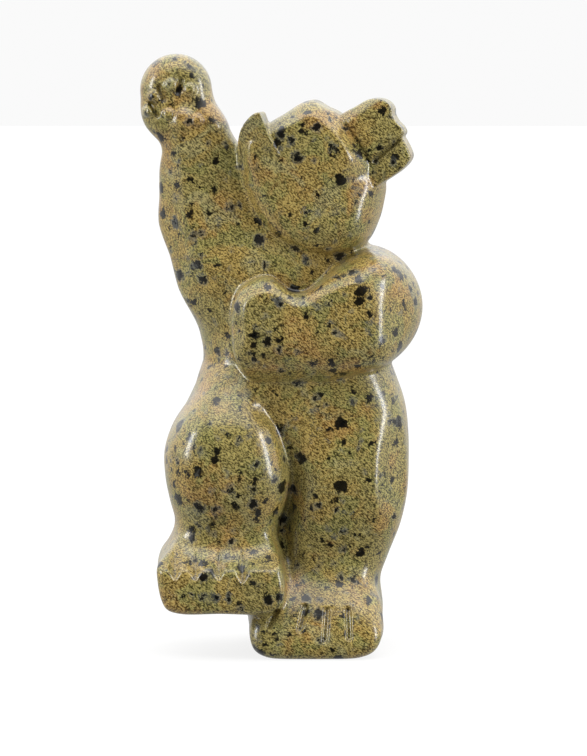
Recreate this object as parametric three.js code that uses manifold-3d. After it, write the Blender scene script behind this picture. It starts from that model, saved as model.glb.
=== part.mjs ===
// A dancing bear carved from one block of soapstone. It stands on its left foot, with the right foot lifted
// and grown into its side, the right arm raised, the left arm bent across the chest, and the head turned to
// look up over the left shoulder. Millimetres, +Z up, the bear faces -Y, and the sole lies on Z = 0.
//
// The carving is one solid. Each limb is a form: a function of a point that tells about how far the point
// lies outside the stone (negative inside). Forms are joined with fillets and trimmed by filed flats, the
// surface where the sum is zero becomes a mesh, and the mesh is thinned and given its file cuts.

import * as THREE from "three";
import { mergeVertices } from "three/addons/utils/BufferGeometryUtils.js";
import { SimplifyModifier } from "three/addons/modifiers/SimplifyModifier.js";
import Module from "manifold-3d";

const { abs, cos, hypot, max, min, PI, sin, SQRT1_2, sqrt } = Math;

// ---- Driving dimensions ----------------------------------------------------------------------------------
const CRISP = 1.0; // how far the edge between two filed faces is eased
const ROUND = 10; // how far the edge between the arm's front or back and its sides is rounded

// The trunk, by level: [height, left, right, front, back].
const TRUNK = [
  [152, -18, 14, -7, 18],
  [142, -26, 24, -11, 22],
  [131, -32.5, 31, -16, 26],
  [116, -30, 34, -18, 27],
  [105, -27, 34, -19, 26],
  [96, -24, 35, -19, 26],
  [82, -25, 38, -20, 29],
  [66, -26, 38, -18, 30],
  [54, -18, 34, -12, 27],
];

// The raised arm and its paw: joints from the shoulder up, [x, z, radius], and where they are filed flat.
const RAISED_ARM = [
  [-17.5, 127, 17.6],
  [-23.6, 144.5, 16.3],
  [-25.4, 157.8, 14.2],
  [-28.1, 170.6, 10.8],
];
const RAISED_PAW = [
  [-28.1, 170.6, 10.5],
  [-34.2, 180, 12],
  [-34.8, 185.9, 11.8],
];
const ARM_FRONT = -12.5;
const PALM_FRONT = -11.2;
const ARM_BACK = 14;

// The bent arm: its outline on the chest, the ridge round its filed face, and the ball of its elbow.
const BENT_ARM_OUTLINE = [
  [-16.2, 108], [-15.4, 116.6], [-13.4, 121.2], [-10, 123.7], [-6, 125], [-2.7, 124.6], [-0.3, 122.6],
  [3, 120.3], [7.2, 119.9], [11.1, 121.7], [16, 125.3], [22, 130], [29.5, 132.8], [37, 130.4], [43.6, 123],
  [46, 114], [43.2, 104.5], [35.5, 96], [27, 92.4], [12, 89.4], [-2, 88.8], [-10, 91.4], [-14.8, 98],
];
const BENT_ARM_RIDGE = [
  [-11.6, 107], [-12, 112.4], [-11.5, 116.4], [-9.6, 118.4], [-5, 120.4], [-2.9, 119.9], [-0.3, 118.3],
  [2.9, 116.4], [6.2, 115.9], [9.4, 116.4], [12, 118.3], [15.9, 120.2], [20.8, 122.5], [26, 123.8],
  [34, 124.2], [50, 118], [58, 95], [40, 78], [10, 74], [-10, 80], [-12.8, 94],
];
const BENT_ARM_FRONT = -31;
const BENT_ARM_SIDE = 32; // x where the filed face turns to the side
const ELBOW = { centre: [25.4, 1, 113.8], radii: [20.4, 24, 20] };

// The head: a frame at its middle, turned towards the front and tipped back, with u along the nose and v up,
// and how far the skull, the muzzle and the lower jaw reach to each side.
const HEAD = { x: 9.67, y: -2, z: 154.2, turn: 8, tip: 33, half: 19, muzzle: 13, jaw: 11.4 };
const FAR_TAPER = 0.16; // how much the far half of the head narrows for each millimetre across
const SKULL_OUTLINE = [
  [-8, 22.8], [-1, 24.2], [7, 24.1], [14.4, 23.9], [17.4, 22.6], [19.6, 18.6], [22, 14.6], [23.4, 9], [23.8, 0],
  [23, -9], [21.4, -14], [18.6, -17.4], [13.8, -21.6], [6.5, -25.8], [-1, -25.4], [-8.5, -21.6],
  [-14.2, -15.4], [-17.8, -8], [-18.8, 0], [-17.6, 9], [-14.6, 17],
];
const SKULL_RIDGE = [
  [-6, 21.6], [0.6, 20.7], [4.8, 19.9], [9.9, 19.2], [14.2, 18.8], [16.2, 17], [17.2, 13.6], [18.4, 9.8],
  [18.7, 6], [18.6, 0], [18.2, -4.7], [17.2, -8.4], [17.2, -14], [14.6, -24], [6, -32], [-12, -36], [-34, -30],
  [-46, -6], [-42, 14], [-24, 21],
];
const MUZZLE_OUTLINE = [
  [12, 13.4], [23.5, 13.8], [27.7, 13.4], [32.3, 13.1], [34.9, 12.1], [37.1, 10.1], [38, 8], [37.9, 6],
  [37.1, 4.6], [36.8, 2], [37.3, -1], [36.8, -2.8], [34, -3.5], [30, -3.7], [12, -4.2],
];
const JAW_OUTLINE = [
  [12, -2], [30, -2], [35.2, -3], [35.5, -5.6], [35.2, -8], [34.6, -10.2], [33, -11.4], [29.7, -12.3],
  [21, -12.5], [12, -12.4],
];
const EAR_OUTLINE = [
  [1.7, 28.3], [0.2, 28.9], [-2.7, 28.7], [-6.2, 27.5], [-8.6, 25.8], [-11.9, 22], [-15, 14], [-12, 6],
  [-6, 4], [-1.8, 8], [-0.4, 13], [-0.2, 16], [0.2, 20], [0.9, 23.4], [1.4, 25.8],
];
const FAR_EAR = [-4.5, -4]; // how far back and down the far ear is set from the near one

// The raised leg, by level, and its foot.
const RAISED_LEG = [
  [96, -23, 2, -13, 20],
  [89, -27, 0, -20, 21],
  [82, -31.4, -3.4, -26, 21],
  [75, -36, 0, -30, 21],
  [67, -38.6, 2.4, -31.5, 20],
  [58.5, -38.4, 3.8, -31.5, 19],
  [51, -37, 2.6, -30, 18],
  [44, -35.2, 0.2, -27.5, 17],
  [37, -34.4, -2, -25, 15],
  [28, -36, -1, -23, 14],
];
const RAISED_FOOT = [
  [-33, 38.5], [-37.4, 34.8], [-40.4, 31], [-40.4, 26], [-39.2, 20], [-37.4, 16.8], [-33, 15.3], [-20, 15.3],
  [-4, 15.3], [0, 17], [1.4, 23], [0, 31], [-2, 36], [-10, 40], [-25, 40],
];
const RAISED_FOOT_FRONT = -35;

// The standing leg, by level, and its foot.
const STANDING_LEG = [
  [102, -10, 32, -14, 24],
  [92, -10, 37, -19, 28],
  [82, -8, 41, -21.4, 30],
  [72, -3, 42.4, -23, 30],
  [62, 1, 42.6, -24, 28],
  [52, 2.3, 42, -24, 26],
  [42, 1, 39.8, -22, 24],
  [32, 0.3, 36, -19.5, 22.5],
  [22, 0, 32.6, -18, 22],
  [12, 0, 32, -18, 22],
];
const LEG_SIDE = 32; // x where the leg's filed front turns to the side
const STANDING_FOOT = [
  [-10.4, 13], [-10.3, 7], [-8.6, 2.6], [-4, 0.2], [11, -0.6], [25.5, 0.2], [30.6, 2.4], [33, 7], [32.8, 13],
  [31.2, 19], [25, 25], [11, 27], [-4, 25], [-9.6, 19],
];
const STANDING_FOOT_FRONT = -32;

// The file cuts between the toes: x of each V on the raised foot, and where each groove of the standing foot
// ends below and above, [x, z].
const RAISED_CLAWS = [-34.6, -28, -20.4, -12.6];
const STANDING_CLAWS = [
  [[-3.9, 11], [-1.3, 16.4]],
  [[6.2, 10], [7.9, 16.8]],
  [[14.4, 6.7], [15.1, 15.8]],
  [[22.3, 7.4], [22, 15.8]],
];

// How finely the stone is sampled, and about how many triangles it keeps.
const CELL = 1.3;
const TRIANGLES = 9000;

// ---- Forms -----------------------------------------------------------------------------------------------

// Two forms as one, with a fillet in the hollow between them.
function join(a, b, fillet) {
  const overlap = max(fillet - abs(a - b), 0);
  return min(a, b) - (overlap * overlap) / (4 * fillet);
}

// What two forms share, with the edge between them eased.
function trim(a, b, ease) {
  return -join(-a, -b, ease);
}

// A filed flat: all that lies behind the plane through a point, square to the direction it faces.
function flat([px, py, pz], facing) {
  const [nx, ny, nz] = new THREE.Vector3(...facing).normalize().toArray();
  return (x, y, z) => (x - px) * nx + (y - py) * ny + (z - pz) * nz;
}

// An egg-shaped mass.
function ball([cx, cy, cz], [rx, ry, rz]) {
  return (x, y, z) => {
    const dx = (x - cx) / rx;
    const dy = (y - cy) / ry;
    const dz = (z - cz) / rz;
    const reach = hypot(dx, dy, dz);
    const slope = hypot(dx / rx, dy / ry, dz / rz);
    return slope > 1e-6 ? (reach * (reach - 1)) / slope : -min(rx, ry, rz);
  };
}

// A limb cut from a slab: round stretches between joints, joined one to the next, the same at every depth.
function limb(joints, fillet) {
  return (x, z) => {
    let result = Infinity;
    for (let i = 1; i < joints.length; i++) {
      const [ax, az, ar] = joints[i - 1];
      const [bx, bz, br] = joints[i];
      const [ex, ez] = [bx - ax, bz - az];
      const t = min(max(((x - ax) * ex + (z - az) * ez) / (ex * ex + ez * ez), 0), 1);
      const d = hypot(x - ax - t * ex, z - az - t * ez) - ar - t * (br - ar);
      result = i === 1 ? d : join(result, d, fillet);
    }
    return result;
  };
}

// A rounded-square trunk or leg through levels [height, left, right, front, back], smooth between them.
function loft(levels, squareness, ease) {
  const heights = levels.map((level) => level[0]);
  const top = max(...heights);
  const bottom = min(...heights);
  const last = levels.length - 1;
  const slopes = levels.map((level, i) => {
    const above = levels[max(i - 1, 0)];
    const below = levels[min(i + 1, last)];
    return level.map((value, k) => (above[k] - below[k]) / (above[0] - below[0]));
  });
  return (x, y, z) => {
    const level = min(max(z, bottom), top);
    let i = 0;
    while (i < last - 1 && level < heights[i + 1]) i++;
    const step = heights[i + 1] - heights[i];
    const t = (level - heights[i]) / step;
    const [a, b] = [levels[i], levels[i + 1]];
    const [leaving, reaching] = [t * (1 - t) ** 2 * step, t * t * (t - 1) * step];
    const blend = t * t * (3 - 2 * t);
    const [left, right, front, back] = [1, 2, 3, 4].map(
      (k) => (1 - blend) * a[k] + blend * b[k] + leaving * slopes[i][k] + reaching * slopes[i + 1][k],
    );
    const rx = (right - left) / 2;
    const ry = (back - front) / 2;
    const dx = abs(x - (left + right) / 2) / rx;
    const dy = abs(y - (front + back) / 2) / ry;
    const reach = (dx ** squareness + dy ** squareness) ** (1 / squareness);
    const slope = hypot(dx ** (squareness - 1) / rx, dy ** (squareness - 1) / ry) / reach ** (squareness - 1);
    const side = reach > 1e-6 ? (reach - 1) / max(slope, 1 / max(rx, ry)) : -min(rx, ry);
    const end = abs(level - (top + bottom) / 2) - (top - bottom) / 2 + abs(z - level);
    return trim(side, end, ease);
  };
}

// How far a point of a plane lies outside a smooth closed outline.
function outline(points, steps) {
  const corners = points.map(([a, b]) => new THREE.Vector3(a, b, 0));
  const curve = new THREE.CatmullRomCurve3(corners, true, "centripetal");
  const ring = curve.getPoints(steps).slice(0, steps);
  return (a, b) => {
    let nearest = Infinity;
    let inside = false;
    let from = ring[steps - 1];
    for (const to of ring) {
      const [ex, ey, px, py] = [to.x - from.x, to.y - from.y, a - from.x, b - from.y];
      const t = min(max((px * ex + py * ey) / (ex * ex + ey * ey), 0), 1);
      nearest = min(nearest, (px - t * ex) ** 2 + (py - t * ey) ** 2);
      if (from.y > b !== to.y > b && px < (py * ex) / ey) inside = !inside;
      from = to;
    }
    return inside ? -sqrt(nearest) : sqrt(nearest);
  };
}

// ---- The bear's forms ------------------------------------------------------------------------------------

const trunkMass = loft(TRUNK, 2.6, 10);
const tail = ball([6, 29, 64], [7, 5.5, 7]);
const armMass = limb(RAISED_ARM, 4);
const armSide = flat([-33, ARM_FRONT, 154], [-0.72, -0.68, -0.1]);
const pawMass = limb(RAISED_PAW, 1);
const palm = flat([-34, PALM_FRONT, 183], [0, -1, 0.05]);

// The trunk and the raised arm are filed as one: a flat front on the arm, and one long flat down their left.
function trunkAndArm(x, y, z) {
  const arm = trim(armMass(x, z), ARM_FRONT - y, 8);
  const filed = trim(join(trunkMass(x, y, z), arm, 6), armSide(x, y, z), 2.5);
  const paw = trim(pawMass(x, z), palm(x, y, z), 9);
  const upper = trim(join(filed, paw, 2.5), y - ARM_BACK - max(0, 150 - z) * 0.5, ROUND);
  return join(upper, tail(x, y, z), 4);
}

// 0 below one value, 1 above another, and smooth between them.
function fade(value, from, to) {
  const t = min(max((value - from) / (to - from), 0), 1);
  return t * t * (3 - 2 * t);
}

const bentArmOutline = outline(BENT_ARM_OUTLINE, 60);
const bentArmRidge = outline(BENT_ARM_RIDGE, 60);
const bentArmUnder = flat([0, BENT_ARM_FRONT, 97.5], [0, -0.6, -0.8]);
const bentArmSide = flat([BENT_ARM_SIDE, BENT_ARM_FRONT, 112], [0.8, -0.6, 0]);
const elbow = ball(ELBOW.centre, ELBOW.radii);

function bentArm(x, y, z) {
  const face = BENT_ARM_FRONT - y;
  const bevel = (bentArmRidge(x, z) + face) * SQRT1_2;
  const filed = trim(trim(face, bentArmSide(x, y, z), 5), bevel, CRISP + 6 * fade(x, 22, 33));
  const arm = trim(trim(filed, bentArmUnder(x, y, z), 7), bentArmOutline(x, z), 1.6 + 5 * fade(x, 12, 26));
  return join(trim(arm, y - 14, 12), elbow(x, y, z), 5);
}

const skullOutline = outline(SKULL_OUTLINE, 60);
const skullRidge = outline(SKULL_RIDGE, 50);
const muzzleOutline = outline(MUZZLE_OUTLINE, 50);
const jawOutline = outline(JAW_OUTLINE, 40);
const earOutline = outline(EAR_OUTLINE, 40);

// The head is a thick slab seen from its side. The skull's faces are bevelled from a ridge down to its
// outline, and the ears stand a little proud of them.
function head(x, y, z) {
  const turn = (HEAD.turn * PI) / 180;
  const tip = (HEAD.tip * PI) / 180;
  const [dx, dy, dz] = [x - HEAD.x, y - HEAD.y, z - HEAD.z];
  const ahead = cos(turn) * dx - sin(turn) * dy;
  const across = sin(turn) * dx + cos(turn) * dy;
  const u = cos(tip) * ahead + sin(tip) * dz;
  const v = cos(tip) * dz - sin(tip) * ahead;
  const side = abs(across);

  const taper = FAR_TAPER * max(across, 0);
  const roundness = 2 + 9 * max(fade(8 - v - 0.5 * u, 0, 20), fade(-u, 6, 14));
  const steep = 0.57 - 0.09 * fade(-v, -16, -8);
  const bevel = skullRidge(u, v) * sqrt(1 - steep * steep) + (side - HEAD.half) * steep;
  const filed = trim(side - HEAD.half, bevel, CRISP + 14 * fade(3 - v, 0, 12));
  const skull = trim(filed, skullOutline(u, v) + taper, roundness);

  const snout = trim(muzzleOutline(u, v) + taper, side - HEAD.muzzle, CRISP);
  const snoutTop = (v - 10.5) * 0.72 + (side - HEAD.muzzle) * 0.69;
  const snoutEnd = (23.4 - u) * 0.8 + (side - HEAD.muzzle) * 0.6;
  const muzzle = trim(trim(snout, snoutTop, CRISP), snoutEnd, CRISP);
  const jaw = trim(jawOutline(u, v) + taper, side - HEAD.jaw, 1.5);

  const [back, down] = across > 0 ? FAR_EAR : [0, 0];
  const earProud = 0.9 + 0.1 * (v - 11) + 0.4 * (u - 0.6) - 0.25 * max(13.5 - v, 0) ** 2;
  const earFace = (side - HEAD.half - earProud) * 0.9;
  const ear = trim(trim(earOutline(u - back, v - down), earFace, CRISP), 8 - side, 2);
  return join(join(join(skull, muzzle, 0.5), jaw, 0.8), ear, 0.8);
}

const raisedLegMass = loft(RAISED_LEG, 3, 6);
const raisedFootOutline = outline(RAISED_FOOT, 50);
const raisedFootTop = flat([-20, RAISED_FOOT_FRONT, 29.6], [0, -0.6, 0.8]);
const kneeInside = flat([-6, -31.5, 66], [0.62, -0.78, 0.06]);

function raisedLeg(x, y, z) {
  const foot = trim(raisedFootOutline(x, z), RAISED_FOOT_FRONT - y, 4);
  const footTop = trim(foot, raisedFootTop(x, y, z), CRISP);
  const knee = trim(raisedLegMass(x, y, z), kneeInside(x, y, z), CRISP);
  return join(knee, trim(footTop, y - 16, 8), 8);
}

const standingLegMass = loft(STANDING_LEG, 3.4, 6);
const legSide = flat([LEG_SIDE, -22.6, 62], [0.68, -0.73, 0.02]);
const web = ball([-1, 4, 34], [9, 17, 34]); // stone left standing between the legs
const standingFootTop = flat([10, STANDING_FOOT_FRONT, 13], [0, -0.68, 0.73]);
const standingFootOutline = outline(STANDING_FOOT, 40);

function standingLeg(x, y, z) {
  const leg = trim(standingLegMass(x, y, z), legSide(x, y, z), CRISP);
  const foot = trim(standingFootOutline(x, z), STANDING_FOOT_FRONT - y, 5);
  const footTop = trim(foot, standingFootTop(x, y, z), 9);
  const instep = 7 + 6 * fade(-y, 12, 22); // the fillet from the leg to the foot, softer in front
  return join(join(leg, web(x, y, z), 4), trim(footTop, y - 25, 8), instep);
}

function stone(x, y, z) {
  let bear = join(trunkAndArm(x, y, z), standingLeg(x, y, z), 6);
  bear = join(bear, raisedLeg(x, y, z), 2.5 + 8 * max(fade(z, 78, 92), fade(y, -4, 12)));
  bear = join(bear, bentArm(x, y, z), 1.4);
  return join(bear, head(x, y, z), 2.5);
}

// ---- From form to solid ----------------------------------------------------------------------------------

// The surface where a form is zero, by marching tetrahedra: every cell of a grid is cut into six tetrahedra
// round its diagonal, and each gives up to two triangles. The result is always closed.
function surface(form, box, cell) {
  const count = box.getSize(new THREE.Vector3()).divideScalar(cell).ceil().addScalar(1);
  const [nx, ny, nz] = count.toArray();
  const values = new Float32Array(nx * ny * nz).fill(NaN);
  const place = (i) => [
    box.min.x + (i % nx) * cell,
    box.min.y + (Math.floor(i / nx) % ny) * cell,
    box.min.z + Math.floor(i / (nx * ny)) * cell,
  ];
  const value = (i) => {
    if (Number.isNaN(values[i])) values[i] = form(...place(i)) || 1e-6;
    return values[i];
  };

  const positions = [];
  const triangles = [];
  const crossings = new Map();
  const crossing = (inner, outer) => {
    const key = min(inner, outer) * values.length + max(inner, outer);
    if (!crossings.has(key)) {
      const t = min(max(value(inner) / (value(inner) - value(outer)), 0.03), 0.97);
      const [a, b] = [place(inner), place(outer)];
      crossings.set(key, positions.length / 3);
      positions.push(...a.map((start, k) => start + t * (b[k] - start)));
    }
    return crossings.get(key);
  };
  // Corners in an order that keeps the tetrahedron right-handed, those inside the stone first.
  const orders = [
    [], [0, 1, 2, 3], [1, 0, 3, 2], [0, 1, 2, 3], [2, 3, 0, 1], [0, 2, 3, 1], [1, 2, 0, 3], [3, 2, 1, 0],
    [3, 2, 1, 0], [0, 3, 1, 2], [1, 3, 2, 0], [2, 3, 0, 1], [2, 3, 0, 1], [1, 0, 3, 2], [0, 1, 2, 3], [],
  ];
  const ring = [1, 1 + nx, nx, nx + nx * ny, nx * ny, 1 + nx * ny];
  const far = 1 + nx + nx * ny;
  const tetrahedron = (corners) => {
    const mask = corners.reduce((bits, corner, k) => bits | (value(corner) < 0 ? 1 << k : 0), 0);
    const [a, b, c, d] = orders[mask].map((k) => corners[k]);
    const inside = [1, 2, 4, 8].filter((bit) => mask & bit).length;
    if (inside === 1) triangles.push(crossing(a, b), crossing(a, c), crossing(a, d));
    if (inside === 3) triangles.push(crossing(b, a), crossing(d, a), crossing(c, a));
    if (inside === 2) {
      const corner = [crossing(a, c), crossing(a, d), crossing(b, d), crossing(b, c)];
      triangles.push(corner[0], corner[1], corner[2], corner[0], corner[2], corner[3]);
    }
  };

  // Blocks of cells that lie wholly inside or outside the stone are passed over.
  const block = 6;
  for (let k = 0; k < nz - 1; k += block)
    for (let j = 0; j < ny - 1; j += block)
      for (let i = 0; i < nx - 1; i += block) {
        const [x, y, z] = place(i + j * nx + k * nx * ny);
        const middle = (block * cell) / 2;
        if (abs(form(x + middle, y + middle, z + middle)) > middle * 2.6) continue;
        for (let c = k; c < min(k + block, nz - 1); c++)
          for (let b = j; b < min(j + block, ny - 1); b++)
            for (let a = i; a < min(i + block, nx - 1); a++) {
              const corner = a + b * nx + c * nx * ny;
              ring.forEach((step, n) => {
                const next = ring[(n + 1) % ring.length];
                tetrahedron([corner, corner + step, corner + next, corner + far]);
              });
            }
      }
  const geometry = new THREE.BufferGeometry();
  geometry.setAttribute("position", new THREE.Float32BufferAttribute(positions, 3));
  geometry.setIndex(triangles);
  return geometry;
}

const wasm = await Module();
wasm.setup();

function solid(geometry) {
  const vertProperties = new Float32Array(geometry.getAttribute("position").array);
  const triVerts = new Uint32Array(geometry.getIndex().array);
  return new wasm.Manifold(new wasm.Mesh({ numProp: 3, vertProperties, triVerts }));
}

// A tool laid in the stone: its length runs along Z before it is turned from +Z to a direction and moved.
function tool(geometry, place, direction) {
  const turn = new THREE.Quaternion().setFromUnitVectors(
    new THREE.Vector3(0, 0, 1),
    new THREE.Vector3(...direction).normalize(),
  );
  const plain = geometry.clone().deleteAttribute("normal").deleteAttribute("uv");
  return solid(mergeVertices(plain.applyQuaternion(turn).translate(...place)));
}

// A three-square file's V: a rhombus across the length.
function fileTool(width, depth, length) {
  const rhombus = new THREE.Shape([
    new THREE.Vector2(-width, 0),
    new THREE.Vector2(0, -depth),
    new THREE.Vector2(width, 0),
    new THREE.Vector2(0, depth),
  ]);
  const bar = new THREE.ExtrudeGeometry(rhombus, { depth: length, bevelEnabled: false });
  return bar.translate(0, 0, -length / 2);
}

const room = new THREE.Box3(new THREE.Vector3(-50, -38, -8), new THREE.Vector3(50, 38, 201));
const fine = surface(stone, room, CELL);
const vertices = fine.getAttribute("position").count;
const coarse = await new SimplifyModifier().modify(fine, vertices - TRIANGLES / 2);
let carved = solid(coarse);

const floor = new THREE.BoxGeometry(200, 200, 20);
carved = carved.subtract(tool(floor, [0, 0, -10], [0, 0, 1]));
for (const x of RAISED_CLAWS) {
  const groove = fileTool(4.4, 3, 16);
  carved = carved.subtract(tool(groove, [x, RAISED_FOOT_FRONT - 1.15, 30.2], [0, 0.447, 0.894]));
}
for (const [[lowX, lowZ], [highX, highZ]] of STANDING_CLAWS) {
  const rise = highZ - lowZ;
  const groove = new THREE.CylinderGeometry(1.4, 1.4, rise + 3, 16).rotateX(PI / 2);
  const middle = [(lowX + highX) / 2, STANDING_FOOT_FRONT + 1.9, (lowZ + highZ) / 2];
  carved = carved.subtract(tool(groove, middle, [highX - lowX, 3.4, rise]));
}

const mesh = carved.getMesh();
const geometry = new THREE.BufferGeometry();
geometry.setAttribute("position", new THREE.BufferAttribute(mesh.vertProperties, 3));
geometry.setIndex(new THREE.BufferAttribute(mesh.triVerts, 1));
geometry.computeVertexNormals();

const soapstone = new THREE.MeshStandardMaterial({ color: 0x7d7548, roughness: 0.32, metalness: 0 });
const bear = new THREE.Mesh(geometry, soapstone);
bear.name = "bear";

const part = new THREE.Group();
part.add(bear);
export default part;
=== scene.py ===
"""A dancing bear carved from one block of speckled soapstone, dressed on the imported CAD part.

The carving is followed the way a carver works: the trunk, the limbs and the head are roughed out as forms,
filed with flats, cut with small files, and then polished. Sizes are in millimetres until the mesh is made.
"""

import math

import bpy
import numpy as np
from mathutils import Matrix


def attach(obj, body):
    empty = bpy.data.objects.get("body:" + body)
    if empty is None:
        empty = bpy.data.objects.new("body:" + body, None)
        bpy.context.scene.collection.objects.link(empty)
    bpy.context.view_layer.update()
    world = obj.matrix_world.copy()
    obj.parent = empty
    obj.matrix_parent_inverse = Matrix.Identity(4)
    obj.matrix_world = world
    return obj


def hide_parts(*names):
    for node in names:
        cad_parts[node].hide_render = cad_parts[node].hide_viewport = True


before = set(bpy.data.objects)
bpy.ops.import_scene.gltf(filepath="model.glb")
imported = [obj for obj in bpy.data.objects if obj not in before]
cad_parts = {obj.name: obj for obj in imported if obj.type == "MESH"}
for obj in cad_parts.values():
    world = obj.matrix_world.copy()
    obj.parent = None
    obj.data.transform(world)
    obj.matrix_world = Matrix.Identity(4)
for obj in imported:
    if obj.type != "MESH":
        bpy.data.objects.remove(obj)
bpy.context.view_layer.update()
scene = bpy.context.scene


# ---- Camera --------------------------------------------------------------------------------------
# A long lens a little above the bear's middle. The bear stands slightly left of the middle of the frame and
# a little high in it, which the lens shift keeps without turning the camera.
CAMERA_DISTANCE = 1.3
CAMERA_RISE = math.radians(5)
CAMERA_TARGET = (0, 0, 0.098)

bpy.ops.object.select_all(action="DESELECT")
bpy.ops.object.camera_add(
    location=(
        CAMERA_TARGET[0],
        CAMERA_TARGET[1] - CAMERA_DISTANCE * math.cos(CAMERA_RISE),
        CAMERA_TARGET[2] + CAMERA_DISTANCE * math.sin(CAMERA_RISE),
    ),
    rotation=(math.radians(90) - CAMERA_RISE, 0, 0),
)
camera = bpy.context.object
camera.name = "camera"
camera.data.sensor_fit = "VERTICAL"
camera.data.sensor_height = 36
camera.data.lens = 185.7
camera.data.shift_x = 0.0165
camera.data.shift_y = -0.032
camera.data.clip_end = 20
scene.camera = camera


# ---- Floor and light -----------------------------------------------------------------------------
# A white studio: a lit acrylic floor, a bright room behind and at the sides, and a dim one in front. A
# soft box at each side draws the highlights on the filed edges, and a wide one lights the top.
FLOOR_SIZE = 12
bpy.ops.mesh.primitive_grid_add(x_subdivisions=8, y_subdivisions=8, size=FLOOR_SIZE, location=(0, 0, 0))
floor = bpy.context.object
floor.name = "studio_floor"
floor.visible_glossy = False
acrylic = bpy.data.materials.new("lit_acrylic")
acrylic.use_nodes = True
acrylic_shader = acrylic.node_tree.nodes["Principled BSDF"]
acrylic_shader.inputs["Base Color"].default_value = (0.14, 0.14, 0.14, 1)
acrylic_shader.inputs["Roughness"].default_value = 0.8
acrylic_shader.inputs["Specular IOR Level"].default_value = 0
acrylic_shader.inputs["Emission Color"].default_value = (1, 1, 1, 1)
acrylic_seen = acrylic.node_tree.nodes.new("ShaderNodeLightPath")
acrylic_glow = acrylic.node_tree.nodes.new("ShaderNodeMix")
acrylic_glow.inputs["A"].default_value = 0.35
acrylic_glow.inputs["B"].default_value = 0.82
acrylic.node_tree.links.new(acrylic_seen.outputs["Is Camera Ray"], acrylic_glow.inputs["Factor"])
acrylic.node_tree.links.new(acrylic_glow.outputs["Result"], acrylic_shader.inputs["Emission Strength"])
floor.data.materials.append(acrylic)

room = bpy.data.worlds.new("studio_room")
scene.world = room
room.use_nodes = True
studio = room.node_tree
facing = studio.nodes.new("ShaderNodeTexCoord")
parts = studio.nodes.new("ShaderNodeSeparateXYZ")
dim_front = studio.nodes.new("ShaderNodeMapRange")
dim_front.interpolation_type = "SMOOTHSTEP"
for socket, value in zip(dim_front.inputs[1:5], (-0.8, -0.05, 0.03, 1.35)):
    socket.default_value = value
dim_low = studio.nodes.new("ShaderNodeMapRange")
dim_low.interpolation_type = "SMOOTHSTEP"
for socket, value in zip(dim_low.inputs[1:5], (-0.3, 0.9, 0.4, 1.7)):
    socket.default_value = value
dim = studio.nodes.new("ShaderNodeMath")
dim.operation = "MULTIPLY"
ray = studio.nodes.new("ShaderNodeLightPath")
seen = studio.nodes.new("ShaderNodeMix")
seen.inputs["B"].default_value = 0.955
studio.links.new(facing.outputs["Generated"], parts.inputs["Vector"])
studio.links.new(parts.outputs["Y"], dim_front.inputs["Value"])
studio.links.new(parts.outputs["Z"], dim_low.inputs["Value"])
studio.links.new(dim_front.outputs["Result"], dim.inputs[0])
studio.links.new(dim_low.outputs["Result"], dim.inputs[1])
studio.links.new(ray.outputs["Is Camera Ray"], seen.inputs["Factor"])
studio.links.new(dim.outputs["Value"], seen.inputs["A"])
studio.links.new(seen.outputs["Result"], studio.nodes["Background"].inputs["Strength"])
studio.nodes["Background"].inputs["Color"].default_value = (1, 1, 1, 1)

for name, place, size, power in (
    ("softbox_right", (1.15, -0.5, 0.35), (0.25, 0.8), 10),
    ("softbox_left", (-1.1, -0.6, 0.5), (0.25, 0.7), 9),
    ("softbox_top", (0.1, -0.7, 1.6), (1.4, 1.0), 8),
):
    bpy.ops.object.light_add(type="AREA", location=place)
    light = bpy.context.object
    light.name = name
    light.data.shape = "RECTANGLE"
    light.data.size, light.data.size_y = size
    light.data.energy = power
    aim = np.array([0, 0, 0.1]) - np.array(place)
    light.rotation_euler = (
        math.atan2(math.hypot(aim[0], aim[1]), -aim[2]),
        0,
        math.atan2(aim[1], aim[0]) - math.radians(90),
    )
scene.view_settings.view_transform = "Standard"


# ---- Trunk and tail ------------------------------------------------------------------------------
# The middle of the block, roughed out by level and rounded off, with a stub of a tail at its back. Every
# form is a function of points that tells about how far each lies outside the stone, negative inside it.
CRISP = 1.0  # how far the edge between two filed faces is eased
TRUNK = (  # height, left, right, front, back
    (152, -18, 14, -7, 18),
    (142, -26, 24, -11, 22),
    (131, -32.5, 31, -16, 26),
    (116, -30, 34, -18, 27),
    (105, -27, 34, -19, 26),
    (96, -24, 35, -19, 26),
    (82, -25, 38, -20, 29),
    (66, -26, 38, -18, 30),
    (54, -18, 34, -12, 27),
)
TAIL_CENTRE, TAIL_RADII = (6, 29, 64), (7, 5.5, 7)


def join(a, b, fillet):
    """Two forms as one, with a fillet in the hollow between them."""
    overlap = np.maximum(fillet - abs(a - b), 0)
    return np.minimum(a, b) - overlap * overlap / (4 * fillet)


def trim(a, b, ease):
    """What two forms share, with the edge between them eased."""
    return -join(-a, -b, ease)


def ball(p, centre, radii):
    """An egg-shaped mass."""
    d = (p - np.float32(centre)) / np.float32(radii)
    reach = np.linalg.norm(d, axis=1)
    slope = np.linalg.norm(d / np.float32(radii), axis=1)
    return reach * (reach - 1) / np.maximum(slope, 1e-5)


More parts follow.
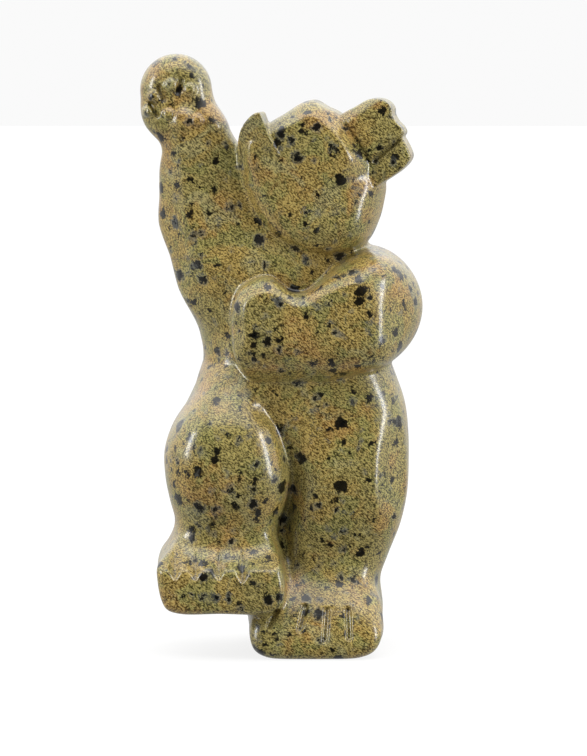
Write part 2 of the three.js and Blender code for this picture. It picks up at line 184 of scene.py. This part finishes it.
def loft(p, levels, squareness, ease):
    """A rounded-square trunk or leg through levels, smooth between them."""
    levels = np.array(levels[::-1], np.float32)
    heights = levels[:, 0]
    rise = np.diff(heights)
    slopes = np.empty_like(levels)
    slopes[1:-1] = (levels[2:] - levels[:-2]) / (heights[2:] - heights[:-2])[:, None]
    slopes[0] = (levels[1] - levels[0]) / rise[0]
    slopes[-1] = (levels[-1] - levels[-2]) / rise[-1]
    level = np.clip(p[:, 2], heights[0], heights[-1])
    i = np.clip(np.searchsorted(heights, level, side="right") - 1, 0, len(rise) - 1)
    step = rise[i]
    t = (level - heights[i]) / step
    start, start_slope = (1 + 2 * t) * (1 - t) ** 2, t * (1 - t) ** 2 * step
    end, end_slope = t * t * (3 - 2 * t), t * t * (t - 1) * step
    j = i + 1
    left, right, front, back = (
        start * levels[i, k] + start_slope * slopes[i, k] + end * levels[j, k] + end_slope * slopes[j, k]
        for k in (1, 2, 3, 4)
    )
    rx, ry = (right - left) / 2, (back - front) / 2
    dx = np.maximum(abs(p[:, 0] - (left + right) / 2) / rx, 1e-4)
    dy = np.maximum(abs(p[:, 1] - (front + back) / 2) / ry, 1e-4)
    reach = (dx**squareness + dy**squareness) ** (1 / squareness)
    slope = np.hypot(dx ** (squareness - 1) / rx, dy ** (squareness - 1) / ry) / reach ** (squareness - 1)
    side = (reach - 1) / np.maximum(slope, 1 / np.maximum(rx, ry))
    bottom, top = heights[0], heights[-1]
    cap = abs(level - (bottom + top) / 2) - (top - bottom) / 2 + abs(p[:, 2] - level)
    return trim(side, cap, ease)


# ---- Raised arm ----------------------------------------------------------------------------------
# The right arm reaches straight up. Its front is filed flat, one long flat runs down its left side on to
# the flank, and the paw on top is a rounded pad with its palm filed to face the front. Both are joints
# across, up and radius.
RAISED_ARM = ((-17.5, 127, 17.6), (-23.6, 144.5, 16.3), (-25.4, 157.8, 14.2), (-28.1, 170.6, 10.8))
RAISED_PAW = ((-28.1, 170.6, 10.5), (-34.2, 180, 12), (-34.8, 185.9, 11.8))
ARM_FRONT = -12.5
PALM_FRONT = -11.2
ARM_BACK = 14


def limb(p, joints, fillet):
    """Round stretches between joints, joined one to the next, the same at every depth."""
    x, z = p[:, 0], p[:, 2]
    whole = None
    for (start_x, start_z, start_radius), (end_x, end_z, end_radius) in zip(joints, joints[1:]):
        along_x, along_z = end_x - start_x, end_z - start_z
        t = np.clip(((x - start_x) * along_x + (z - start_z) * along_z) / (along_x**2 + along_z**2), 0, 1)
        d = np.hypot(x - start_x - t * along_x, z - start_z - t * along_z)
        d = d - start_radius - t * (end_radius - start_radius)
        whole = d if whole is None else join(whole, d, fillet)
    return whole


def flat(p, point, facing):
    """A filed flat: how far the points lie in front of it."""
    facing = np.float32(facing) / np.linalg.norm(np.float32(facing))
    return (p - np.float32(point)) @ facing


def trunk_and_arm(p):
    arm = trim(limb(p, RAISED_ARM, 4), ARM_FRONT - p[:, 1], 8)
    arm_side = flat(p, (-33, ARM_FRONT, 154), (-0.72, -0.68, -0.1))
    filed = trim(join(loft(p, TRUNK, 2.6, 10), arm, 6), arm_side, 2.5)
    paw = trim(limb(p, RAISED_PAW, 1), flat(p, (-34, PALM_FRONT, 183), (0, -1, 0.05)), 9)
    back = p[:, 1] - ARM_BACK - np.maximum(150 - p[:, 2], 0) * 0.5
    return join(trim(join(filed, paw, 2.5), back, 10), ball(p, TAIL_CENTRE, TAIL_RADII), 4)


# ---- Bent arm ------------------------------------------------------------------------------------
# The left arm lies across the chest as one plump mitten with a filed face, a bevel round it, a flat where
# it turns to the side, and the ball of the elbow behind.
BENT_ARM_OUTLINE = (
    (-16.2, 108), (-15.4, 116.6), (-13.4, 121.2), (-10, 123.7), (-6, 125), (-2.7, 124.6),
    (-0.3, 122.6), (3, 120.3), (7.2, 119.9), (11.1, 121.7), (16, 125.3), (22, 130), (29.5, 132.8),
    (37, 130.4), (43.6, 123), (46, 114), (43.2, 104.5), (35.5, 96), (27, 92.4), (12, 89.4),
    (-2, 88.8), (-10, 91.4), (-14.8, 98),
)
BENT_ARM_RIDGE = (
    (-11.6, 107), (-12, 112.4), (-11.5, 116.4), (-9.6, 118.4), (-5, 120.4), (-2.9, 119.9),
    (-0.3, 118.3), (2.9, 116.4), (6.2, 115.9), (9.4, 116.4), (12, 118.3), (15.9, 120.2),
    (20.8, 122.5), (26, 123.8), (34, 124.2), (50, 118), (58, 95), (40, 78), (10, 74), (-10, 80),
    (-12.8, 94),
)
BENT_ARM_FRONT = -31
BENT_ARM_SIDE = 32
ELBOW_CENTRE, ELBOW_RADII = (25.4, 1, 113.8), (20.4, 24, 20)


def outline(points):
    """A smooth closed outline, kept as a fine table of how far each point of its plane lies outside it."""
    near = np.array(points, float)
    before, after, beyond = np.roll(near, 1, 0), np.roll(near, -1, 0), np.roll(near, -2, 0)
    d0, d1, d2 = (
        np.linalg.norm(b - a, axis=1, keepdims=True) ** 0.5
        for a, b in ((before, near), (near, after), (after, beyond))
    )
    leave = d1 * ((near - before) / d0 - (after - before) / (d0 + d1) + (after - near) / d1)
    reach = d1 * ((after - near) / d1 - (beyond - near) / (d1 + d2) + (beyond - after) / d2)
    t = (np.arange(6) / 6)[:, None, None]
    squared, cubed = 3 * (after - near) - 2 * leave - reach, 2 * (near - after) + leave + reach
    curve = near + t * leave + t**2 * squared + t**3 * cubed
    ring = curve.transpose(1, 0, 2).reshape(-1, 2)

    spacing, margin = 0.3, 16
    low = ring.min(0) - margin
    count = np.ceil((ring.max(0) + margin - low) / spacing).astype(int) + 1
    a, b = np.meshgrid(*(low[k] + spacing * np.arange(count[k]) for k in (0, 1)), indexing="ij")
    nearest, inside = np.full(a.shape, 1e9), np.zeros(a.shape, bool)
    start = ring[-1]
    for end in ring:
        e, pa, pb = end - start, a - start[0], b - start[1]
        t = np.clip((pa * e[0] + pb * e[1]) / (e @ e), 0, 1)
        nearest = np.minimum(nearest, (pa - t * e[0]) ** 2 + (pb - t * e[1]) ** 2)
        crossing = (start[1] > b) != (end[1] > b)
        inside ^= crossing & (pa < pb * e[0] / (e[1] or 1e-9))
        start = end
    table = (np.where(inside, -1, 1) * np.sqrt(nearest)).astype(np.float32)

    def outside(a, b):
        fa = np.clip((a - low[0]) / spacing, 0, count[0] - 1.001)
        fb = np.clip((b - low[1]) / spacing, 0, count[1] - 1.001)
        i, j = fa.astype(int), fb.astype(int)
        ta, tb = fa - i, fb - j
        value = (table[i, j] * (1 - ta) + table[i + 1, j] * ta) * (1 - tb)
        value += (table[i, j + 1] * (1 - ta) + table[i + 1, j + 1] * ta) * tb
        over = np.hypot(a - low[0] - fa * spacing, b - low[1] - fb * spacing)
        return (value + over).astype(np.float32)

    return outside


bent_arm_outline = outline(BENT_ARM_OUTLINE)
bent_arm_ridge = outline(BENT_ARM_RIDGE)


def fade(value, start, end):
    """0 before the start, 1 after the end, and smooth between them."""
    t = np.clip((value - start) / (end - start), 0, 1)
    return t * t * (3 - 2 * t)


def bent_arm(p):
    x, y, z = p.T
    face = BENT_ARM_FRONT - y
    bevel = (bent_arm_ridge(x, z) + face) * math.sqrt(0.5)
    side = flat(p, (BENT_ARM_SIDE, BENT_ARM_FRONT, 112), (0.8, -0.6, 0))
    under = flat(p, (0, BENT_ARM_FRONT, 97.5), (0, -0.6, -0.8))
    filed = trim(trim(face, side, 5), bevel, CRISP + 6 * fade(x, 22, 33))
    arm = trim(trim(filed, under, 7), bent_arm_outline(x, z), 1.6 + 5 * fade(x, 12, 26))
    return join(trim(arm, y - 14, 12), ball(p, ELBOW_CENTRE, ELBOW_RADII), 5)


# ---- Head ----------------------------------------------------------------------------------------
# The head is a thick slab seen from its side, turned a little to the front and tipped back, with chamfered
# edges, a narrower muzzle and lower jaw, and two pointed ears filed thin at their front edges.
HEAD_PLACE = (9.67, -2, 154.2)
HEAD_TURN, HEAD_TIP = math.radians(8), math.radians(33)
HEAD_HALF, MUZZLE_HALF, JAW_HALF = 19, 13, 11.4
SKULL_OUTLINE = (  # along the nose, and up
    (-8, 22.8), (-1, 24.2), (7, 24.1), (14.4, 23.9), (17.4, 22.6), (19.6, 18.6), (22, 14.6),
    (23.4, 9), (23.8, 0), (23, -9), (21.4, -14), (18.6, -17.4), (13.8, -21.6), (6.5, -25.8),
    (-1, -25.4), (-8.5, -21.6), (-14.2, -15.4), (-17.8, -8), (-18.8, 0), (-17.6, 9), (-14.6, 17),
)
MUZZLE_OUTLINE = (
    (12, 13.4), (23.5, 13.8), (27.7, 13.4), (32.3, 13.1), (34.9, 12.1), (37.1, 10.1), (38, 8),
    (37.9, 6), (37.1, 4.6), (36.8, 2), (37.3, -1), (36.8, -2.8), (34, -3.5), (30, -3.7), (12, -4.2),
)
JAW_OUTLINE = (
    (12, -2), (30, -2), (35.2, -3), (35.5, -5.6), (35.2, -8), (34.6, -10.2), (33, -11.4),
    (29.7, -12.3), (21, -12.5), (12, -12.4),
)
EAR_OUTLINE = (
    (1.7, 28.3), (0.2, 28.9), (-2.7, 28.7), (-6.2, 27.5), (-8.6, 25.8), (-11.9, 22), (-15, 14),
    (-12, 6), (-6, 4), (-1.8, 8), (-0.4, 13), (-0.2, 16), (0.2, 20), (0.9, 23.4), (1.4, 25.8),
)
SKULL_RIDGE = (
    (-6, 21.6), (0.6, 20.7), (4.8, 19.9), (9.9, 19.2), (14.2, 18.8), (16.2, 17), (17.2, 13.6),
    (18.4, 9.8), (18.7, 6), (18.6, 0), (18.2, -4.7), (17.2, -8.4), (17.2, -14), (14.6, -24),
    (6, -32), (-12, -36), (-34, -30), (-46, -6), (-42, 14), (-24, 21),
)
MOUTH_START, MOUTH_END, MOUTH_RADIUS = (23, -5), (40, -2.9), 0.8
FAR_TAPER = 0.16  # how much the far half narrows for each millimetre across
FAR_EAR_BACK, FAR_EAR_DOWN = 4.5, 4
skull_outline, skull_ridge = outline(SKULL_OUTLINE), outline(SKULL_RIDGE)
muzzle_outline, jaw_outline = outline(MUZZLE_OUTLINE), outline(JAW_OUTLINE)
ear_outline = outline(EAR_OUTLINE)


def head_frame(p):
    """Each point along the nose, up, and across the head, from the head's middle."""
    d = p - np.float32(HEAD_PLACE)
    ahead = math.cos(HEAD_TURN) * d[:, 0] - math.sin(HEAD_TURN) * d[:, 1]
    across = math.sin(HEAD_TURN) * d[:, 0] + math.cos(HEAD_TURN) * d[:, 1]
    u = math.cos(HEAD_TIP) * ahead + math.sin(HEAD_TIP) * d[:, 2]
    v = math.cos(HEAD_TIP) * d[:, 2] - math.sin(HEAD_TIP) * ahead
    return u, v, across


def head(p):
    u, v, across = head_frame(p)
    side = abs(across)
    taper = FAR_TAPER * np.maximum(across, 0)
    roundness = 2 + 9 * np.maximum(fade(8 - v - 0.5 * u, 0, 20), fade(-u, 6, 14))
    steep = 0.57 - 0.09 * fade(-v, -16, -8)
    bevel = skull_ridge(u, v) * np.sqrt(1 - steep**2) + (side - HEAD_HALF) * steep
    filed = trim(side - HEAD_HALF, bevel, CRISP + 14 * fade(3 - v, 0, 12))
    skull = trim(filed, skull_outline(u, v) + taper, roundness)

    muzzle = trim(muzzle_outline(u, v) + taper, side - MUZZLE_HALF, 0.8)
    muzzle = trim(muzzle, (v - 10.5) * 0.72 + (side - MUZZLE_HALF) * 0.69, CRISP)
    muzzle = trim(muzzle, (23.4 - u) * 0.8 + (side - MUZZLE_HALF) * 0.6, 0.5)
    chin = trim(jaw_outline(u, v) + taper, side - JAW_HALF, 1.5)
    start, end = np.float32(MOUTH_START), np.float32(MOUTH_END)
    line = (end - start) / np.linalg.norm(end - start)
    off_mouth = (u - start[0]) * -line[1] + (v - start[1]) * line[0]
    mouth = trim(np.hypot(off_mouth, np.maximum(JAW_HALF - side, 0)) - MOUTH_RADIUS, start[0] - u, 1)

    far = across > 0  # the far ear is cut a little lower and further back
    ear_proud = 0.9 + 0.1 * (v - 11) + 0.4 * (u - 0.6) - 0.25 * np.maximum(13.5 - v, 0) ** 2
    ear_face = (side - HEAD_HALF - ear_proud) * 0.9
    ear_plane = ear_outline(u + FAR_EAR_BACK * far, v + FAR_EAR_DOWN * far)
    ear = trim(trim(ear_plane, ear_face, 0.6), 8 - side, 2)
    whole = join(join(join(skull, muzzle, 0.5), chin, 0.8), ear, 0.8)
    return trim(whole, -mouth, 0.4)


# ---- Legs and feet -------------------------------------------------------------------------------
# The bear stands on its left leg. The right leg is lifted, with a filed inside to its knee, and its foot
# has grown into the other one's side. Stone is left standing between the legs, behind a deep groove.
RAISED_LEG = (  # height, left, right, front, back
    (96, -23, 2, -13, 20),
    (89, -27, 0, -20, 21),
    (82, -31.4, -3.4, -26, 21),
    (75, -36, 0, -30, 21),
    (67, -38.6, 2.4, -31.5, 20),
    (58.5, -38.4, 3.8, -31.5, 19),
    (51, -37, 2.6, -30, 18),
    (44, -35.2, 0.2, -27.5, 17),
    (37, -34.4, -2, -25, 15),
    (28, -36, -1, -23, 14),
)
RAISED_FOOT = (
    (-33, 38.5), (-37.4, 34.8), (-40.4, 31), (-40.4, 26), (-39.2, 20), (-37.4, 16.8), (-33, 15.3),
    (-20, 15.3), (-4, 15.3), (0, 17), (1.4, 23), (0, 31), (-2, 36), (-10, 40), (-25, 40),
)
RAISED_FOOT_FRONT = -35
STANDING_LEG = (
    (102, -10, 32, -14, 24),
    (92, -10, 37, -19, 28),
    (82, -8, 41, -21.4, 30),
    (72, -3, 42.4, -23, 30),
    (62, 1, 42.6, -24, 28),
    (52, 2.3, 42, -24, 26),
    (42, 1, 39.8, -22, 24),
    (32, 0.3, 36, -19.5, 22.5),
    (22, 0, 32.6, -18, 22),
    (12, 0, 32, -18, 22),
)
LEG_SIDE = 32
WEB_CENTRE, WEB_RADII = (-1, 4, 34), (9, 17, 34)
STANDING_FOOT = (
    (-10.4, 13), (-10.3, 7), (-8.6, 2.6), (-4, 0.2), (11, -0.6), (25.5, 0.2), (30.6, 2.4), (33, 7),
    (32.8, 13), (31.2, 19), (25, 25), (11, 27), (-4, 25), (-9.6, 19),
)
STANDING_FOOT_FRONT = -32
raised_foot_outline, standing_foot_outline = outline(RAISED_FOOT), outline(STANDING_FOOT)


def raised_leg(p):
    x, y, z = p.T
    foot = trim(raised_foot_outline(x, z), RAISED_FOOT_FRONT - y, 4)
    foot = trim(foot, flat(p, (-20, RAISED_FOOT_FRONT, 29.6), (0, -0.6, 0.8)), CRISP)
    knee = trim(loft(p, RAISED_LEG, 3, 6), flat(p, (-6, -31.5, 66), (0.62, -0.78, 0.06)), CRISP)
    return join(knee, trim(foot, y - 16, 8), 8)


def standing_leg(p):
    x, y, z = p.T
    leg = trim(loft(p, STANDING_LEG, 3.4, 6), flat(p, (LEG_SIDE, -22.6, 62), (0.68, -0.73, 0.02)), CRISP)
    foot = trim(standing_foot_outline(x, z), STANDING_FOOT_FRONT - y, 5)
    foot = trim(foot, flat(p, (10, STANDING_FOOT_FRONT, 13), (0, -0.68, 0.73)), 9)
    instep = 7 + 6 * fade(-y, 12, 22)  # the fillet from the leg to the foot, softer in front
    return join(join(leg, ball(p, WEB_CENTRE, WEB_RADII), 4), trim(foot, y - 25, 8), instep)


# ---- File cuts -----------------------------------------------------------------------------------
# The toes of the raised foot are parted by the corner of a three-square file, and those of the standing
# foot by a round one. The raised palm has three dents between its pads. Each cut follows the surface it is
# made in. Places are across and up.
RAISED_CLAWS = ((-34.6, 25.9), (-28, 25.9), (-20.4, 25.9), (-12.6, 24.9))  # where each V starts
STANDING_CLAWS = (  # where each groove ends below and above
    ((-3.9, 11), (-1.3, 16.4)),
    ((6.2, 10), (7.9, 16.8)),
    ((14.4, 6.7), (15.1, 15.8)),
    ((22.3, 7.4), (22, 15.8)),
)
PALM_DENTS = (  # where each dent ends above and below
    ((-32.9, 189.2), (-33.8, 185.3)),
    ((-40.1, 186.9), (-38.5, 183)),
    ((-42.7, 181.4), (-40.8, 177.8)),
)
PALM_PADS = (  # across, up and size
    (-36.3, 187.5, 2.6), (-30, 186, 2.6), (-42, 183.9, 2.4), (-44, 178.9, 2.2),
    (-37, 178, 2.4), (-32.3, 176, 4.6), (-27.6, 176, 2.4),
)


def from_stroke(x, z, stroke):
    """How far the points are, seen from the front, from a straight stroke."""
    (start_x, start_z), (end_x, end_z) = stroke
    along_x, along_z = end_x - start_x, end_z - start_z
    t = np.clip(((x - start_x) * along_x + (z - start_z) * along_z) / (along_x**2 + along_z**2), 0, 1)
    return np.hypot(x - start_x - t * along_x, z - start_z - t * along_z)


def cuts(p, bear):
    """How far the points lie outside all the stone that the files took away from the bear."""
    x, y, z = p.T
    away = np.maximum(y + 8, 0)
    removed = np.full(len(p), 1e3, np.float32)
    for claw_x, claw_z in RAISED_CLAWS:
        depth = np.clip((z - claw_z) * 0.62, 0, 2.2) * (1 - 0.8 * fade(y, -34, -26)) * (1 - fade(z, 32, 37))
        removed = np.minimum(removed, abs(x - claw_x) - depth - bear + away)
    for stroke in STANDING_CLAWS:
        removed = np.minimum(removed, np.hypot(from_stroke(x, z, stroke) * 0.9, bear) - 1 + away)
    for stroke in PALM_DENTS:
        removed = np.minimum(removed, np.hypot(from_stroke(x, z, stroke), bear) - 1 + away)
    return removed


def pads(p):
    """How much the pads raise the palm, fading out before its rounded edge."""
    x, y, z = p.T
    raised = np.zeros(len(p), np.float32)
    for pad_x, pad_z, size in PALM_PADS:
        raised = np.maximum(raised, 1 - fade(np.hypot(x - pad_x, z - pad_z) / size, 0.35, 1.1))
    return raised * (1 - fade(y, -8, -4))


# ---- The carving ---------------------------------------------------------------------------------
# All the forms are one stone, cut with the files and ground flat at the sole. The stone's surface is taken
# on a fine grid, every vertex is then moved on to the form, and the mesh is thinned where it is plain.
CELL = 0.5
BLOCK = 8  # cells along each edge of a block, which is passed over where the surface is far from it
TRIANGLES = 190000
LOW_CORNER, HIGH_CORNER = (-49, -38, -2), (50, 38, 200)


def stone(p):
    bear = join(trunk_and_arm(p), standing_leg(p), 6)
    bear = join(bear, raised_leg(p), 2.5 + 8 * np.maximum(fade(p[:, 2], 78, 92), fade(p[:, 1], -4, 12)))
    bear = join(join(bear, bent_arm(p), 1.4), head(p), 2.5)
    bear = bear - pads(p)
    bear = trim(bear, -cuts(p, bear), 0.25)
    return trim(bear, -p[:, 2], 0.4)


def stone_at(p):
    """The stone's form at many points, a batch at a time."""
    return np.concatenate([stone(part) for part in np.array_split(p, len(p) // 60000 + 1)])


blocks = np.ceil((np.array(HIGH_CORNER) - LOW_CORNER) / (CELL * BLOCK)).astype(int)
corners = np.stack(np.meshgrid(*(np.arange(n) for n in blocks), indexing="ij"), -1).reshape(-1, 3) * BLOCK
middles = (np.float32(LOW_CORNER) + (corners + BLOCK / 2) * CELL).astype(np.float32)
middle_values = stone_at(middles)
count = blocks * BLOCK + 1
values = np.ones(count, np.float32)
for corner, value in zip(corners, middle_values):
    i, j, k = corner
    values[i : i + BLOCK + 1, j : j + BLOCK + 1, k : k + BLOCK + 1] = 1 if value > 0 else -1
near = corners[abs(middle_values) < BLOCK * CELL * 1.15]
offsets = np.stack(np.meshgrid(*[np.arange(BLOCK + 1)] * 3, indexing="ij"), -1).reshape(-1, 3)
grid = (near[:, None] + offsets).reshape(-1, 3)
flat_index = np.unique(np.ravel_multi_index(grid.T, count))
grid = np.stack(np.unravel_index(flat_index, count), -1)
values.reshape(-1)[flat_index] = stone_at((np.float32(LOW_CORNER) + grid * CELL).astype(np.float32))

# One vertex in each cell that the surface crosses, and one quad round each grid edge that it crosses.
inside = values < 0
ends = [np.array(c) for c in np.ndindex(2, 2, 2)]


def shift(grid, corner):
    """The grid's values at one corner of every cell."""
    return grid[tuple(slice(start, length - 1 + start) for start, length in zip(corner, grid.shape))]


held = sum(shift(inside, c).astype(np.int8) for c in ends)
cells = np.argwhere((held > 0) & (held < 8))
number = np.full(held.shape, -1, int)
number[tuple(cells.T)] = np.arange(len(cells))
place, crossings = np.zeros((len(cells), 3)), np.zeros((len(cells), 1))
for a in ends:
    for axis in range(3):
        if a[axis]:
            continue
        b = a + np.eye(3, dtype=int)[axis]
        va, vb = values[tuple((cells + a).T)], values[tuple((cells + b).T)]
        crossed = (va < 0) != (vb < 0)
        t = np.where(crossed, va / np.where(crossed, va - vb, 1), 0)
        place += crossed[:, None] * (a + t[:, None] * (b - a))
        crossings += crossed[:, None]
points = (np.array(LOW_CORNER) + (cells + place / crossings) * CELL).astype(np.float32)
quads = []
for axis in range(3):
    one, two = np.eye(3, dtype=int)[[(axis + 1) % 3, (axis + 2) % 3]]
    along = np.eye(3, dtype=int)[axis]
    edge = np.argwhere(np.diff(inside.astype(np.int8), axis=axis) != 0)
    quad = np.stack([number[tuple((edge - s).T)] for s in (one + two, two, 0 * one, one)], -1)
    leaves = inside[tuple(edge.T)]
    quads.append(np.where(leaves[:, None], quad, quad[:, ::-1]))
quads = np.concatenate(quads)


def slope_at(p, step):
    """How fast the form grows along each axis."""
    moves = np.eye(3, dtype=np.float32) * step
    return np.stack([stone_at(p + m) - stone_at(p - m) for m in moves], -1) / (2 * step)


for _ in range(2):
    slope = slope_at(points, 0.12)
    pull = stone_at(points) / np.maximum((slope**2).sum(1), 0.2)
    points -= np.clip(pull, -0.5, 0.5)[:, None] * slope

mesh = bpy.data.meshes.new("bear_carving")
mesh.from_pydata((points / 1000).tolist(), [], quads.tolist())
carving = bpy.data.objects.new("bear_carving", mesh)
scene.collection.objects.link(carving)
bpy.ops.object.select_all(action="DESELECT")
carving.select_set(True)
bpy.context.view_layer.objects.active = carving
bpy.ops.object.modifier_add(type="TRIANGULATE")
bpy.ops.object.modifier_apply(modifier="Triangulate")
bpy.ops.object.modifier_add(type="DECIMATE")
carving.modifiers["Decimate"].ratio = min(1, TRIANGLES / len(carving.data.polygons))
bpy.ops.object.modifier_apply(modifier="Decimate")
bpy.ops.object.shade_smooth()


# ---- Soapstone -----------------------------------------------------------------------------------
# Olive and ochre soapstone with a fine slanting grain, dark hairlines, rust, green and grey patches and
# black mineral spots, some of them in a grey halo. It is polished by hand to a soft gloss.
soapstone = bpy.data.materials.new("soapstone")
soapstone.use_nodes = True
tree = soapstone.node_tree
shader = tree.nodes["Principled BSDF"]


def node(kind, settings=None, **inputs):
    """Adds a node and sets or links its inputs, which are named with underscores for spaces."""
    made = tree.nodes.new(kind)
    for key, value in (settings or {}).items():
        setattr(made, key, value)
    for key, value in inputs.items():
        socket = made.inputs[int(key[1:])] if key[1:].isdigit() else made.inputs[key.replace("_", " ")]
        if isinstance(value, bpy.types.NodeSocket):
            tree.links.new(value, socket)
        else:
            socket.default_value = value
    return made


def noise(place, scale, detail, distortion=0.0):
    texture = {"Scale": scale, "Detail": detail, "Distortion": distortion, "Roughness": 0.6}
    return node("ShaderNodeTexNoise", Vector=place, **texture).outputs["Fac"]


def between(value, low, high, to_low=0.0, to_high=1.0):
    made = node(
        "ShaderNodeMapRange",
        {"interpolation_type": "SMOOTHSTEP"},
        Value=value, From_Min=low, From_Max=high, To_Min=to_low, To_Max=to_high,
    )
    return made.outputs["Result"]


def blend(share, first, second, way="MIX"):
    made = tree.nodes.new("ShaderNodeMix")
    made.data_type, made.blend_type = "RGBA", way
    for slot, value in ((0, share), (6, first), (7, second)):
        if isinstance(value, bpy.types.NodeSocket):
            tree.links.new(value, made.inputs[slot])
        else:
            made.inputs[slot].default_value = value
    return made.outputs[2]


def maths(operation, a, b=0.0):
    return node("ShaderNodeMath", {"operation": operation}, _0=a, _1=b).outputs[0]


def stone_colour(red, green, blue):
    """A colour from its everyday 0 to 255 values."""
    return tuple((c / 255) ** 2.2 for c in (red, green, blue)) + (1,)


where = node("ShaderNodeTexCoord").outputs["Object"]
millimetres = node(
    "ShaderNodeMapping", {"vector_type": "POINT"}, Vector=where, Scale=(1000, 1000, 1000)
).outputs[0]
grain_way = node(
    "ShaderNodeMapping",
    {"vector_type": "TEXTURE"},
    Vector=millimetres,
    Rotation=(0.3, math.radians(38), 0.2),
    Scale=(2.2, 1, 1),
).outputs[0]
hair_way = node(
    "ShaderNodeMapping",
    {"vector_type": "TEXTURE"},
    Vector=millimetres,
    Rotation=(0.2, math.radians(33), -0.3),
    Scale=(9, 1, 1),
).outputs[0]

patches = noise(millimetres, 0.045, 3)
clouds = noise(millimetres, 0.1, 4, 0.5)
rust = noise(millimetres, 0.065, 4, 0.4)
greys = noise(millimetres, 0.08, 3, 0.8)
grain = noise(grain_way, 2.6, 4)
flecks = noise(grain_way, 1.9, 3, 0.3)
hairs = noise(hair_way, 2.2, 2)

colour = blend(between(patches, 0.44, 0.56), stone_colour(120, 106, 50), stone_colour(152, 114, 38))
colour = blend(maths("MULTIPLY", between(clouds, 0.5, 0.6), 0.85), colour, stone_colour(88, 98, 40))
colour = blend(maths("MULTIPLY", between(rust, 0.53, 0.66), 0.7), colour, stone_colour(168, 94, 28))
colour = blend(maths("MULTIPLY", between(greys, 0.55, 0.66), 0.7), colour, stone_colour(136, 136, 104))
dark_grain = blend(0.78, colour, stone_colour(30, 27, 6))
pale_grain = blend(0.5, colour, stone_colour(214, 198, 126))
colour = blend(between(grain, 0.38, 0.62), dark_grain, pale_grain)
colour = blend(maths("MULTIPLY", between(flecks, 0.55, 0.65), 0.75), colour, stone_colour(22, 20, 6))
colour = blend(maths("MULTIPLY", between(hairs, 0.61, 0.68), 0.85), colour, stone_colour(16, 15, 5))


def shaken(scale, reach):
    """A shift of places by a fine noise, which gives the spots ragged edges."""
    jitter = node("ShaderNodeTexNoise", Vector=millimetres, Scale=scale, Detail=3).outputs["Color"]
    jitter = node("ShaderNodeVectorMath", {"operation": "SUBTRACT"}, _0=jitter, _1=(0.5, 0.5, 0.5)).outputs[0]
    return node("ShaderNodeVectorMath", {"operation": "SCALE"}, _0=jitter, Scale=reach).outputs[0]


spot_place = millimetres
for scale, reach in ((0.35, 4), (1.5, 2.4)):
    moved = node("ShaderNodeVectorMath", {"operation": "ADD"}, _0=spot_place, _1=shaken(scale, reach))
    spot_place = moved.outputs[0]


def spots(size, share, radius):
    """Mineral spots: the distance from each middle, the spot's radius, if it is there, and its chance."""
    cell = node("ShaderNodeTexVoronoi", Vector=spot_place, Scale=1 / size)
    distance = maths("MULTIPLY", cell.outputs["Distance"], size)
    chance = node("ShaderNodeSeparateColor", Color=cell.outputs["Color"]).outputs
    grown = maths("MULTIPLY", between(chance[0], 1 - share, 1, 0.45, 1), radius)
    present = between(chance[0], 1 - share - 0.01, 1 - share)
    return distance, grown, present, chance[1]


dark = stone_colour(12, 12, 9)
for size, share, radius in ((6.6, 0.6, 2.1), (4.2, 0.45, 1.4), (2.6, 0.24, 0.8)):
    distance, grown, present, chance = spots(size, share, radius)
    halo = maths("MULTIPLY", present, between(maths("SUBTRACT", distance, grown), 0, 1.1, 1, 0))
    halo = maths("MULTIPLY", halo, between(chance, 0.55, 0.8, 0, 0.5))
    colour = blend(halo, colour, stone_colour(104, 106, 100))
    spot = maths("MULTIPLY", present, between(maths("SUBTRACT", distance, grown), -0.2, 0.2, 0.97, 0))
    colour = blend(spot, colour, dark)

tree.links.new(colour, shader.inputs["Base Color"])
tree.links.new(between(grain, 0.3, 0.7, 0.34, 0.26), shader.inputs["Roughness"])
shader.inputs["Coat Weight"].default_value = 0.3
shader.inputs["Coat Roughness"].default_value = 0.1
bump = node("ShaderNodeBump", Strength=0.25, Distance=0.0002, Height=clouds)
tree.links.new(bump.outputs["Normal"], shader.inputs["Normal"])
carving.data.materials.append(soapstone)

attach(carving, "root")
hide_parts("bear")
